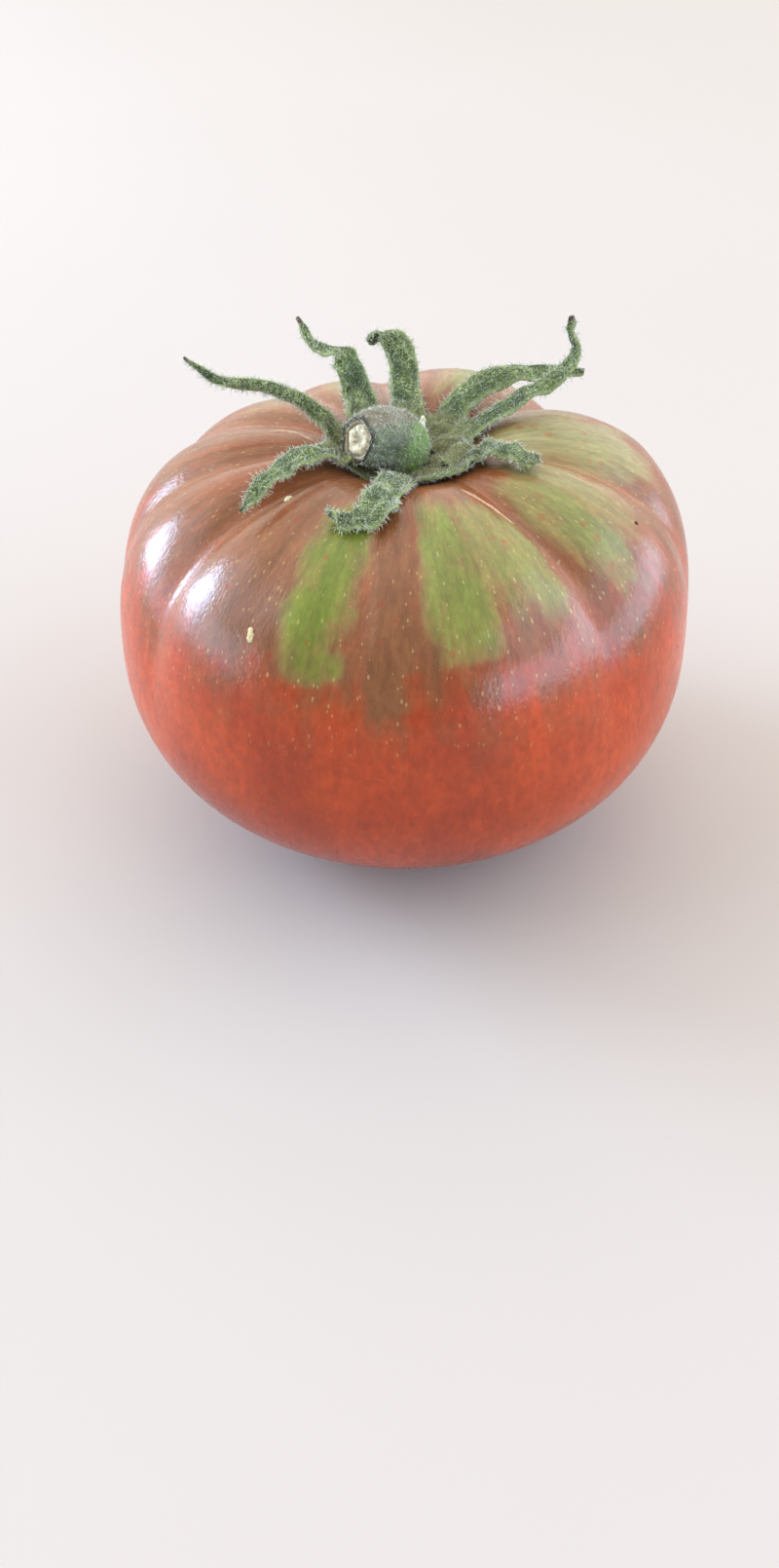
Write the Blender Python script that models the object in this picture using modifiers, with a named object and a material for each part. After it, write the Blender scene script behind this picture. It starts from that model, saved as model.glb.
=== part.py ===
"""A ribbed beefsteak tomato with its stem, calyx cup and eight curled sepals."""

import bmesh
import bpy
import numpy as np

MM = 0.001

# The fruit, in millimetres: a rounded drum on a small flat foot, ribbed from the shoulders down.
FRUIT_RADIUS = 42.7
SHOULDER_HEIGHT = 30.4
BELLY_HEIGHT = 30.6
SHOULDER_ROUNDNESS = 2.9
BELLY_ROUNDNESS = 2.32
FOOT_CUT = 0.5
CAVITY_CENTRE = (-0.5, 0.8)
CAVITY_DEPTH = 6.5
CAVITY_RADIUS = 10.5
FRUIT_SEGMENTS = 72
FRUIT_RINGS = 30

# Each furrow between two ribs: azimuth from the front in degrees, depth in millimetres,
# spread in degrees, rounding of its bottom in degrees, and how far down the side it reaches.
FURROWS = (
    (-10, 1.5, 7, 1.2, 0.50),
    (3, 0.7, 5, 2.0, 0.42),
    (42, 2.6, 10, 1.5, 0.50),
    (80, 2.0, 9, 1.5, 0.48),
    (134, 3.2, 12, 2.5, 0.50),
    (-174, 2.6, 11, 2.0, 0.50),
    (-145, 2.4, 10, 2.0, 0.50),
    (-116, 2.2, 9, 2.0, 0.48),
    (-87, 2.2, 8, 1.5, 0.48),
    (-57, 2.8, 9, 1.3, 0.50),
    (-33, 0.5, 6, 3.0, 0.40),
)

# How much higher or lower than the drum each stretch of shoulder stands: azimuth, millimetres.
SHOULDER_LIFTS = (
    (-165, 0.6),
    (-125, 0.8),
    (-100, 0.8),
    (-72, 0.8),
    (-40, 0.3),
    (0, -0.8),
    (20, 0.0),
    (57, 1.0),
    (108, 2.2),
    (135, 0.5),
    (160, 1.6),
)

# The calyx cup, a dish in the cavity, as (radius, height) round the cavity's centre.
CUP_PROFILE = (
    (0.0, 54.4),
    (2.6, 54.8),
    (4.2, 55.4),
    (5.6, 56.0),
    (7.0, 56.8),
    (8.2, 57.6),
    (8.0, 58.2),
    (7.2, 57.9),
    (6.0, 57.1),
    (4.4, 56.2),
    (2.6, 55.6),
    (0.0, 55.4),
)
CUP_LOBES = 8
CUP_LOBE_DEPTH = 0.35
CUP_SEGMENTS = 32

# The stem: its centre line from the cup upwards, and its radius along that line.
STEM_LINE = ((0.0, 0.8, 56.6), (0.4, 0.8, 59.6), (-2.6, -0.3, 61.8), (-6.6, -1.8, 63.5))
STEM_RADII = (
    (0.0, 1.2),
    (0.0, 2.4),
    (0.08, 3.0),
    (0.2, 4.1),
    (0.36, 5.3),
    (0.52, 5.8),
    (0.68, 5.6),
    (0.83, 4.9),
    (0.94, 4.1),
    (1.0, 3.3),
    (1.0, 1.5),
)
STEM_SEGMENTS = 24

# Each sepal's centre line as (azimuth, distance from the cavity's centre, height), its width
# along that line, its turn about the line at the base and at the tip in degrees, and how far its
# edges drop below its middle. Lengths are in millimetres.
SEPALS = {
    "sepal_front": (
        ((-3, 9.0, 58.6), (-8, 14.0, 59.8), (-10, 18.4, 60.1), (-14, 21.9, 59.7), (-21, 22.9, 60.3), (-26, 22.0, 61.0)),
        (3.4, 4.8, 4.8, 4.0, 2.6, 1.2),
        (0, 0),
        0.4,
    ),
    "sepal_front_left": (
        ((-72, 9.2, 58.9), (-66, 13.5, 61.0), (-58, 18.3, 61.5), (-53, 23.3, 60.6), (-49, 28.2, 59.4)),
        (3.0, 3.8, 3.6, 2.6, 0.9),
        (0, 0),
        0.5,
    ),
    "sepal_left": (
        (
            (-103, 9.0, 58.9), (-105, 11.7, 61.6), (-105, 15.2, 64.1), (-105, 19.5, 65.2),
            (-105, 23.1, 65.2), (-105, 26.7, 65.3), (-105, 29.6, 66.6), (-105, 31.7, 67.8),
        ),
        (3.0, 3.4, 3.2, 3.0, 2.8, 2.2, 1.5, 0.7),
        (30, 60),
        0.2,
    ),
    "sepal_back_left": (
        (
            (-150, 9.4, 58.4), (-151, 12.7, 61.8), (-149, 14.1, 65.1), (-146, 15.2, 66.8),
            (-142, 18.7, 66.6), (-141, 21.8, 67.6), (-140, 23.2, 69.8),
        ),
        (3.6, 5.0, 4.8, 3.8, 2.2, 1.6, 0.7),
        (0, 0),
        0.5,
    ),
    "sepal_back": (
        ((173, 8.8, 58.6), (176, 12.7, 60.4), (178, 16.8, 62.6), (-179, 19.0, 65.0), (-173, 20.4, 66.0), (-166, 20.6, 65.6)),
        (3.6, 4.4, 4.3, 3.8, 3.2, 1.8),
        (0, 0),
        0.5,
    ),
    "sepal_back_right": (
        ((141, 9.2, 58.9), (140, 13.2, 61.0), (137, 18.2, 62.3), (132, 22.9, 63.0), (126, 27.4, 62.6), (121, 31.8, 62.4)),
        (3.2, 4.2, 4.2, 3.8, 2.8, 0.9),
        (0, -20),
        0.7,
    ),
    "sepal_right": (
        (
            (111, 9.2, 58.7), (112, 13.3, 60.9), (112, 17.8, 62.6), (111, 21.6, 64.0),
            (110, 24.4, 66.0), (110, 25.8, 69.0), (110, 25.6, 71.8), (110, 25.0, 74.0),
        ),
        (3.0, 3.6, 3.4, 3.0, 2.6, 2.2, 1.6, 0.7),
        (0, 0),
        0.4,
    ),
    "sepal_front_right": (
        ((60, 9.0, 58.8), (67, 13.0, 60.8), (66, 17.0, 61.6), (64, 20.4, 61.0)),
        (3.4, 4.2, 3.8, 2.2),
        (0, 0),
        0.5,
    ),
}
SEPAL_THICKNESS = 0.9
SEPAL_STEPS_ALONG = 20
SEPAL_STEPS_ACROSS = 4

COLOURS = {
    "fruit": (0.56, 0.11, 0.06),
    "stem": (0.10, 0.17, 0.06),
    "calyx_cup": (0.14, 0.24, 0.09),
    "sepal": (0.20, 0.34, 0.18),
}


def smooth_step(start, end, value):
    share = np.clip((value - start) / (end - start), 0, 1)
    return share * share * (3 - 2 * share)


def drum_profile():
    """The drum's side view from the top pole to the base: share of the way, radius, height, normal."""
    angle = np.linspace(np.pi / 2, -np.pi / 2, 2401)
    upper = angle > 0
    roundness = np.where(upper, SHOULDER_ROUNDNESS, BELLY_ROUNDNESS)
    radius = FRUIT_RADIUS * np.abs(np.cos(angle)) ** (2 / roundness)
    rise = np.abs(np.sin(angle)) ** (2 / roundness)
    height = BELLY_HEIGHT + np.where(upper, SHOULDER_HEIGHT, -BELLY_HEIGHT) * rise
    steps = np.hypot(np.diff(radius), np.diff(height))
    length = np.concatenate([[0], np.cumsum(steps)])
    share = np.linspace(0, 1, 241)
    radius = np.interp(share * length[-1], length, radius)
    height = np.interp(share * length[-1], length, height)
    out = -np.gradient(height)
    up = np.gradient(radius)
    norm = np.hypot(out, up)
    return share, radius, height, out / norm, up / norm


def furrow_depth(azimuth, share):
    depth = np.zeros_like(azimuth)
    for centre, deepest, spread, rounding, reach in FURROWS:
        apart = (azimuth - centre + 180) % 360 - 180
        shape = np.exp(-(np.hypot(apart, rounding) - rounding) / spread)
        fade = 1 - smooth_step(reach - 0.22, reach + 0.08, share)
        depth += deepest * shape * smooth_step(0.04, 0.2, share) * fade
    return depth


def shoulder_lift(azimuth, share):
    angles, lifts = np.array(SHOULDER_LIFTS).T
    lift = np.interp(azimuth, angles, lifts, period=360)
    return lift * smooth_step(0.05, 0.22, share) * (1 - smooth_step(0.3, 0.55, share))


def fruit_skin(azimuth, share):
    """Points of the skin in millimetres, from azimuth in degrees and share of the way from top to base."""
    shares, radii, heights, outs, ups = drum_profile()
    out = np.interp(share, shares, outs)
    up = np.interp(share, shares, ups)
    depth = furrow_depth(azimuth, share)
    lift = shoulder_lift(azimuth, share)
    radius = np.interp(share, shares, radii) + out * (0.5 * lift - depth)
    height = np.interp(share, shares, heights) + lift - up * depth
    turn = np.radians(azimuth)
    x = radius * np.sin(turn)
    y = -radius * np.cos(turn)
    reach = np.hypot(x - CAVITY_CENTRE[0], y - CAVITY_CENTRE[1])
    height -= CAVITY_DEPTH * np.exp(-((reach / CAVITY_RADIUS) ** 2)) * (share < 0.45)
    return np.stack([x, y, np.maximum(height, FOOT_CUT) - FOOT_CUT], axis=-1)


def from_cavity(azimuth, reach, height):
    turn = np.radians(azimuth)
    x = CAVITY_CENTRE[0] + reach * np.sin(turn)
    return np.array([x, CAVITY_CENTRE[1] - reach * np.cos(turn), height])


def curve_through(points, share):
    """Points of a Catmull-Rom curve through the given ones, spaced by share of its knots."""
    points = np.array(points, float)
    before = 2 * points[0] - points[1]
    after = 2 * points[-1] - points[-2]
    knots = np.vstack([before, points, after])
    place = np.asarray(share) * (len(points) - 1)
    start = np.clip(place.astype(int), 0, len(points) - 2)
    t = (place - start)[:, None]
    p0, p1, p2, p3 = (knots[start + i] for i in range(4))
    bend = (2 * p0 - 5 * p1 + 4 * p2 - p3) * t + (3 * p1 - 3 * p2 + p3 - p0) * t * t
    return p1 + 0.5 * t * (p2 - p0 + bend)


def unit(vectors):
    return vectors / np.linalg.norm(vectors, axis=-1, keepdims=True)


def add_object(name, bm, material):
    bmesh.ops.recalc_face_normals(bm, faces=bm.faces)
    for face in bm.faces:
        face.smooth = True
    mesh = bpy.data.meshes.new(name)
    bm.to_mesh(mesh)
    bm.free()
    mesh.materials.append(material)
    obj = bpy.data.objects.new(name, mesh)
    bpy.data.collections["tomato"].objects.link(obj)
    return obj


def new_material(name, colour, roughness):
    material = bpy.data.materials.new(name)
    material.use_nodes = True
    shader = material.node_tree.nodes["Principled BSDF"]
    shader.inputs["Base Color"].default_value = (*colour, 1)
    shader.inputs["Roughness"].default_value = roughness
    return material


def add_fruit(material):
    bm = bmesh.new()
    bmesh.ops.create_uvsphere(bm, u_segments=FRUIT_SEGMENTS, v_segments=FRUIT_RINGS, radius=1)
    place = np.array([vert.co for vert in bm.verts])
    azimuth = np.degrees(np.arctan2(place[:, 0], -place[:, 1]))
    share = np.arccos(np.clip(place[:, 2], -1, 1)) / np.pi
    for vert, point in zip(bm.verts, fruit_skin(azimuth, share)):
        vert.co = point * MM
    return add_object("fruit", bm, material)


def turned_body(profile, segments):
    """A closed body of revolution about Z from (radius, height) pairs, first and last on the axis."""
    bm = bmesh.new()
    verts = [bm.verts.new((radius, 0, height)) for radius, height in profile]
    edges = [bm.edges.new(pair) for pair in zip(verts, verts[1:])]
    bmesh.ops.spin(
        bm,
        geom=verts + edges,
        cent=(0, 0, 0),
        axis=(0, 0, 1),
        angle=2 * np.pi,
        steps=segments,
        use_merge=True,
    )
    bmesh.ops.remove_doubles(bm, verts=bm.verts, dist=0.001)
    return bm


def add_cup(material):
    bm = turned_body(CUP_PROFILE, CUP_SEGMENTS)
    for vert in bm.verts:
        reach = np.hypot(vert.co.x, vert.co.y)
        turn = np.arctan2(vert.co.x, -vert.co.y)
        lobe = CUP_LOBE_DEPTH * np.cos(CUP_LOBES * turn) * smooth_step(4, 8, reach)
        point = from_cavity(np.degrees(turn), reach + lobe, vert.co.z)
        vert.co = point * MM
    return add_object("calyx_cup", bm, material)


def add_stem(material):
    profile = [(0, 0), *((radius, share) for share, radius in STEM_RADII), (0, 1)]
    bm = turned_body(profile, STEM_SEGMENTS)
    share = np.clip([vert.co.z for vert in bm.verts], 0, 1)
    centre = curve_through(STEM_LINE, share)
    ahead = curve_through(STEM_LINE, np.clip(share + 0.01, 0, 1))
    behind = curve_through(STEM_LINE, np.clip(share - 0.01, 0, 1))
    along = unit(ahead - behind)
    side = unit(np.cross(along, (0, 1, 0)))
    back = np.cross(along, side)
    for i, vert in enumerate(bm.verts):
        vert.co = (centre[i] + vert.co.x * side[i] + vert.co.y * back[i]) * MM
    return add_object("stem", bm, material)


def add_sepal(name, line, widths, turns, droop, material):
    bm = bmesh.new()
    bmesh.ops.create_grid(
        bm, x_segments=SEPAL_STEPS_ACROSS, y_segments=SEPAL_STEPS_ALONG, size=1
    )
    across, along = np.array([vert.co[:2] for vert in bm.verts]).T
    share = (along + 1) / 2
    points = [from_cavity(*knot) for knot in line]
    centre = curve_through(points, share)
    ahead = curve_through(points, np.clip(share + 0.02, 0, 1))
    behind = curve_through(points, np.clip(share - 0.02, 0, 1))
    along = unit(ahead - behind)
    outward = unit(points[-1] - points[0])
    level = unit(np.cross(outward, (0, 0, 1)))
    side = unit(level - along * (along @ level)[:, None])
    upper = np.cross(side, along)
    turn = np.radians(np.interp(share, (0, 1), turns))[:, None]
    tilted = side * np.cos(turn) + upper * np.sin(turn)
    upper = upper * np.cos(turn) - side * np.sin(turn)
    width = np.interp(share * (len(widths) - 1), range(len(widths)), widths)
    out = (across * width / 2)[:, None]
    for vert, point in zip(bm.verts, centre + tilted * out - upper * droop * (across**2)[:, None]):
        vert.co = point * MM
    obj = add_object(name, bm, material)
    solid = obj.modifiers.new("Thickness", "SOLIDIFY")
    solid.thickness = SEPAL_THICKNESS * MM
    solid.offset = 0
    return obj


def main():
    for obj in list(bpy.data.objects):
        bpy.data.objects.remove(obj)
    collection = bpy.data.collections.new("tomato")
    bpy.context.scene.collection.children.link(collection)
    add_fruit(new_material("tomato_skin", COLOURS["fruit"], 0.35))
    add_stem(new_material("stem_bark", COLOURS["stem"], 0.8))
    add_cup(new_material("cup_leaf", COLOURS["calyx_cup"], 0.8))
    for name, (line, widths, turns, droop) in SEPALS.items():
        leaf = new_material(f"{name}_leaf", COLOURS["sepal"], 0.8)
        add_sepal(name, line, widths, turns, droop, leaf)


main()
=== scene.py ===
"""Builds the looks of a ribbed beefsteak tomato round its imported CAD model."""

import bmesh
import bpy
import numpy as np
from bpy.props import FloatProperty, FloatVectorProperty, IntProperty, PointerProperty
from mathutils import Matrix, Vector


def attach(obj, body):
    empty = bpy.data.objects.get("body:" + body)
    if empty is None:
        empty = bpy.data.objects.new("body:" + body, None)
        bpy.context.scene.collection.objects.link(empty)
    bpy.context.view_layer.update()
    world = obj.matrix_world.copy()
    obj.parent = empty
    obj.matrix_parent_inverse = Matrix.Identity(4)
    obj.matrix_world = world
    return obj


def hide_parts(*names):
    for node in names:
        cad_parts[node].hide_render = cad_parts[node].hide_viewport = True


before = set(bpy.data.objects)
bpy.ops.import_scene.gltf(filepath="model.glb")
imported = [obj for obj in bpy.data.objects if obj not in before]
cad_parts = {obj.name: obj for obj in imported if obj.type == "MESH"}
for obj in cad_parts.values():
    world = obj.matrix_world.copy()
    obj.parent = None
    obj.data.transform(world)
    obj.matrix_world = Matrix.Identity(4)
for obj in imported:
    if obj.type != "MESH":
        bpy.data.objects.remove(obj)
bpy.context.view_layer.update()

bl_info = {
    "name": "Beefsteak Tomato",
    "version": (1, 0),
    "blender": (4, 5, 0),
    "location": "3D View > Sidebar > Tomato",
    "description": "Builds a ribbed tomato with a hairy calyx, piece by piece",
    "category": "Add Mesh",
}

MM = 0.001
BODY = "root"

# The fruit, in millimetres: a rounded drum on a small flat foot, ribbed from the shoulders down.
FRUIT_RADIUS = 42.7
SHOULDER_HEIGHT = 30.4
BELLY_HEIGHT = 30.6
SHOULDER_ROUNDNESS = 2.9
BELLY_ROUNDNESS = 2.32
FOOT_CUT = 0.5
CAVITY_CENTRE = (-0.5, 0.8)
CAVITY_DEPTH = 6.5
CAVITY_RADIUS = 10.5
# The way from the top pole down the side to the middle of the base.
SIDE_LENGTH = 123.0

# Each furrow between two ribs: azimuth from the front in degrees, depth in millimetres,
# spread in degrees, rounding of its bottom in degrees, and how far down the side it reaches.
FURROWS = (
    (-10, 1.5, 7, 1.2, 0.50),
    (3, 0.7, 5, 2.0, 0.42),
    (42, 2.6, 10, 1.5, 0.50),
    (80, 2.0, 9, 1.5, 0.48),
    (134, 3.2, 12, 2.5, 0.50),
    (-174, 2.6, 11, 2.0, 0.50),
    (-145, 2.4, 10, 2.0, 0.50),
    (-116, 2.2, 9, 2.0, 0.48),
    (-87, 2.2, 8, 1.5, 0.48),
    (-57, 2.8, 9, 1.3, 0.50),
    (-33, 0.5, 6, 3.0, 0.40),
)

# How much higher or lower than the drum each stretch of shoulder stands: azimuth, millimetres.
SHOULDER_LIFTS = (
    (-165, 0.6),
    (-125, 0.8),
    (-100, 0.8),
    (-72, 0.8),
    (-40, 0.3),
    (0, -0.8),
    (20, 0.0),
    (57, 1.0),
    (108, 2.2),
    (135, 0.5),
    (160, 1.6),
)

# Unripe patches: azimuth and half width in degrees, where they start and end in millimetres down
# from the top pole, strength, and how olive they are.
GREEN_PATCHES = (
    (-20, 7.5, 19, 47, 1.0, 0.0),
    (12, 7.5, 17, 45, 0.95, 0.15),
    (26, 9.0, 19, 38, 0.85, 0.35),
    (34, 6.0, 22, 42, 0.8, 0.25),
    (54, 8.5, 18, 41, 0.9, 0.4),
    (67, 9.0, 16, 37, 0.9, 0.8),
    (94, 14.0, 12, 38, 1.0, 0.9),
    (115, 9.0, 16, 36, 0.5, 0.5),
    (156, 9.0, 18, 42, 0.8, 0.2),
    (-158, 7.0, 20, 40, 0.6, 0.4),
    (-130, 8.0, 22, 38, 0.35, 0.6),
)

# Dusky brown patches, in the same form but with no olive.
DUSKY_PATCHES = (
    (-30, 24, 10, 50, 0.85),
    (-52, 7, 14, 33, 0.9),
    (-3.5, 6.0, 14, 55, 1.0),
    (24, 20, 12, 26, 0.8),
    (22, 10, 36, 47, 0.7),
    (-84, 12, 22, 38, 0.55),
    (-105, 14, 16, 40, 0.5),
    (74, 30, 22, 40, 0.4),
    (-140, 30, 16, 44, 0.6),
    (150, 34, 14, 44, 0.6),
)

# The soft lights, one metre away: name, azimuth and elevation in degrees, width, height, brightness.
WINDOWS = (
    ("left_window", -114, 15, 0.4, 0.42, 26.0),
    ("left_wall", -84, 10, 0.9, 0.5, 4.5),
    ("left_upper", -92, 42, 0.8, 0.5, 2.2),
    ("right_wall", 90, 9, 1.3, 0.45, 5.5),
    ("front_right", 42, 9, 0.5, 0.4, 6.0),
    ("right_upper", 80, 40, 1.3, 0.5, 2.4),
)

# The calyx plate's edge: azimuth and distance from the cavity's centre, with notches between sepals.
PLATE_EDGE = (
    (-180, 10.4), (-160, 8.6), (-140, 10.0), (-126, 8.4), (-106, 9.4), (-88, 8.4), (-66, 9.4),
    (-45, 8.0), (-28, 7.6), (-8, 8.6), (14, 10.2), (35, 11.2), (60, 12.0), (82, 9.4),
    (108, 10.4), (124, 8.6), (141, 10.4), (158, 8.6), (180, 10.4),
)
# Height of the plate's upper side, by distance from the cavity's centre.
PLATE_HEIGHTS = ((0, 56.2), (4, 56.8), (6, 57.6), (8, 58.4), (10, 59.1), (12, 59.4), (14, 59.3))

# The stem: its centre line from the plate upwards, and its radius along that line.
STEM_LINE = ((-1.0, 0.8, 56.4), (-0.8, 0.4, 58.5), (-2.9, -0.6, 60.4), (-6.6, -3.7, 61.9))
STEM_RADII = (
    (0.0, 3.4), (0.08, 3.8), (0.2, 4.2), (0.36, 4.5), (0.52, 4.6), (0.68, 4.4), (0.83, 4.0),
    (0.94, 3.6), (0.985, 3.4), (1.0, 3.1),
)
# The cut end, from its bark rim inwards: share of the rim's radius, and millimetres behind the rim.
CUT_FACE = (
    (0.96, -0.15), (0.9, 0.0), (0.82, 0.1), (0.76, 0.45), (0.7, 0.5), (0.64, 0.2), (0.5, 0.05),
    (0.36, 0.1), (0.26, 0.35), (0.14, 0.5), (0.05, 0.5),
)

# Each sepal's centre line as (azimuth, distance from the cavity's centre, height), and along that
# line its width, its turn about the line in degrees, and how far its left and right edges drop.
SEPALS = {
    "sepal_front": (
        (
            (2, 7.4, 57.2), (-2, 9.2, 59.0), (-8, 14.0, 59.9), (-10, 18.2, 60.1), (-14, 21.4, 59.4),
            (-21, 22.4, 59.4), (-26, 22.0, 60.4),
        ),
        (4.4, 4.8, 5.0, 4.9, 4.2, 2.8, 0.8),
        (0, 0, 0, 0, 10, 20, 10),
        (0.5, 0.4),
    ),
    "sepal_front_left": (
        (
            (-78, 4.6, 57.3), (-76, 7.0, 58.3), (-73, 9.6, 59.5), (-66, 13.5, 61.0), (-58, 18.3, 61.5),
            (-53, 23.3, 60.6), (-49, 28.2, 59.2),
        ),
        (3.6, 5.4, 6.4, 4.4, 3.8, 2.6, 0.6),
        (0, 0, 0, 0, 0, 0, 0),
        (0.5, 0.5),
    ),
    "sepal_left": (
        (
            (-108, 4.6, 57.3), (-106, 7.0, 58.3), (-103, 9.4, 59.6), (-105, 11.7, 61.9),
            (-105, 15.2, 64.1), (-105, 19.5, 65.2), (-105, 23.1, 65.2), (-105, 26.7, 65.3),
            (-105, 29.6, 66.6), (-105, 31.9, 68.1),
        ),
        (3.0, 4.0, 3.4, 2.2, 1.9, 1.8, 1.7, 1.5, 1.1, 0.4),
        (0, 10, 25, 40, 50, 55, 60, 60, 60, 60),
        (0.3, 0.3),
    ),
    "sepal_back_left": (
        (
            (-146, 4.6, 57.3), (-147, 7.0, 58.3), (-149, 9.6, 59.4), (-150, 12.4, 61.8),
            (-149, 14.0, 65.1), (-146.5, 15.2, 66.9), (-142, 18.4, 66.6), (-141, 21.6, 67.6),
            (-140, 23.2, 70.0),
        ),
        (3.6, 5.2, 6.0, 5.0, 4.9, 3.6, 2.2, 1.7, 0.4),
        (0, 0, 0, 0, 0, 0, 0, 0, 0),
        (0.3, 0.5),
    ),
    "sepal_back": (
        (
            (178, 4.6, 57.3), (176, 7.0, 58.3), (174, 9.6, 59.3), (176, 12.7, 60.4), (178, 16.8, 62.6),
            (-179, 19.0, 65.0), (-173, 20.4, 66.1), (-166, 20.8, 65.4),
        ),
        (3.6, 5.0, 6.0, 4.6, 4.3, 4.0, 3.4, 1.6),
        (0, 0, 0, 0, 0, 0, 0, 0),
        (0.5, 0.5),
    ),
    "sepal_back_right": (
        (
            (142, 4.6, 57.3), (142, 7.0, 58.3), (141, 9.6, 59.3), (140, 13.2, 61.0), (137, 18.2, 62.3),
            (132, 22.9, 63.0), (126, 27.4, 62.6), (121, 31.8, 62.4),
        ),
        (3.6, 5.0, 6.0, 4.4, 4.2, 3.6, 2.6, 0.5),
        (0, 0, 0, 0, -5, -10, -20, -20),
        (0.4, 1.0),
    ),
    "sepal_right": (
        (
            (108, 4.6, 57.3), (108, 7.0, 58.3), (110, 9.6, 59.2), (112, 13.3, 60.9),
            (112, 17.8, 62.6), (111, 21.6, 64.0), (110, 24.4, 66.0), (110, 25.8, 69.0),
            (110, 25.6, 71.8), (110, 25.0, 74.0),
        ),
        (3.2, 4.6, 5.0, 3.8, 3.4, 3.0, 2.6, 2.2, 1.6, 0.4),
        (0, 0, 0, 0, 0, 0, 0, 0, 0, 0),
        (0.4, 0.4),
    ),
    "sepal_front_right": (
        (
            (72, 4.6, 57.3), (70, 7.0, 58.3), (66, 9.8, 59.6), (67, 13.0, 61.0), (66, 17.0, 61.8),
            (64, 20.6, 61.0),
        ),
        (3.8, 5.4, 7.0, 4.6, 3.9, 2.4),
        (0, 0, 0, 0, 0, 0),
        (0.6, 0.5),
    ),
}
# Marks and scraps: colour, path down the skin as (azimuth, millimetres from the top pole), radius.
MARKS = {
    "seed_fleck": ("pale", ((-32.4, 41.0), (-32.0, 42.0), (-31.6, 43.0)), 0.45),
    "left_scar": ("cork", ((-99, 12.5), (-103, 14.5), (-106, 17.5), (-104, 20.5)), 0.3),
    "right_scar": ("cork", ((33, 14.0), (35, 16.5), (37, 19.0), (38.5, 21.5), (40, 23.7)), 0.24),
    "left_flake": ("pale", ((-54, 20.2), (-52.5, 20.6), (-50.5, 21.4)), 0.5),
    "dark_speck": ("dark", ((68, 35.8), (68.3, 36.4)), 0.28),
    "back_scar": ("cork", ((163, 30.0), (165, 33.0), (164, 36.5)), 0.26),
    "back_speck": ("dark", ((-150, 45.0), (-150.4, 45.6)), 0.3),
}
# A loose white crumb on the calyx, right of the stem, in the same form as a sepal's centre line.
CRUMB = ((144, 5.2, 58.8), (147, 5.8, 59.5), (149, 6.3, 60.6))
BLOSSOM_BROWN = (0.12, 0.06, 0.03)
RIM_BROWN = (0.06, 0.042, 0.022)
SPECK_BLACK = (0.03, 0.025, 0.02)
SPECK_BROWN = (0.06, 0.04, 0.03)
CRUMB_WHITE = (0.8, 0.78, 0.7)
DRY_TIPPED = ("sepal_left", "sepal_back_left", "sepal_right")


class TomatoSkinSettings(bpy.types.PropertyGroup):
    ripe: FloatVectorProperty(
        name="Ripe",
        description="Skin below the shoulders",
        subtype="COLOR",
        default=(0.47, 0.058, 0.010),
    )
    deep: FloatVectorProperty(
        name="Deep red",
        description="Darker, riper blotches",
        subtype="COLOR",
        default=(0.33, 0.037, 0.009),
    )
    dusk: FloatVectorProperty(
        name="Dusky brown",
        description="Half ripe shoulders",
        subtype="COLOR",
        default=(0.225, 0.085, 0.03),
    )
    amber: FloatVectorProperty(
        name="Amber",
        description="Warm skin along the furrows",
        subtype="COLOR",
        default=(0.40, 0.15, 0.075),
    )
    turning: FloatVectorProperty(
        name="Turning",
        description="Edges of the unripe patches",
        subtype="COLOR",
        default=(0.27, 0.155, 0.055),
    )
    green: FloatVectorProperty(
        name="Green", description="Unripe patches", subtype="COLOR", default=(0.17, 0.22, 0.025)
    )
    olive: FloatVectorProperty(
        name="Olive",
        description="Unripe patches turning brown",
        subtype="COLOR",
        default=(0.30, 0.26, 0.11),
    )
    fleck: FloatVectorProperty(
        name="Flecks", description="Tiny pale flecks", subtype="COLOR", default=(0.62, 0.50, 0.20)
    )
    scar: FloatVectorProperty(
        name="Scars",
        description="Corky scars and scraps",
        subtype="COLOR",
        default=(0.58, 0.40, 0.24),
    )
    scrap: FloatVectorProperty(
        name="Scraps", description="Pale dry scraps", subtype="COLOR", default=(0.68, 0.62, 0.30)
    )
    columns: IntProperty(name="Columns", description="Points round the fruit", default=384, min=48)
    rows: IntProperty(name="Rows", description="Points from top to base", default=190, min=24)


class TomatoCalyxSettings(bpy.types.PropertyGroup):
    leaf: FloatVectorProperty(
        name="Leaf",
        description="Sepals between the hairs",
        subtype="COLOR",
        default=(0.062, 0.11, 0.018),
    )
    mint: FloatVectorProperty(
        name="Mint",
        description="Pale down on the sepals",
        subtype="COLOR",
        default=(0.50, 0.58, 0.21),
    )
    olive: FloatVectorProperty(
        name="Olive",
        description="Middle of the calyx plate",
        subtype="COLOR",
        default=(0.21, 0.20, 0.075),
    )
    dry: FloatVectorProperty(
        name="Dry tips",
        description="Withered sepal tips",
        subtype="COLOR",
        default=(0.12, 0.055, 0.03),
    )
    hair: FloatVectorProperty(
        name="Hairs", description="Fine hairs", subtype="COLOR", default=(0.78, 0.80, 0.64)
    )
    thickness: FloatProperty(
        name="Sepal thickness", description="At the midrib", subtype="DISTANCE", default=0.8 * MM
    )
    hair_length: FloatProperty(
        name="Hair length", description="Typical length", subtype="DISTANCE", default=0.7 * MM
    )
    hair_radius: FloatProperty(
        name="Hair radius", description="At the root", subtype="DISTANCE", default=0.04 * MM
    )


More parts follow.
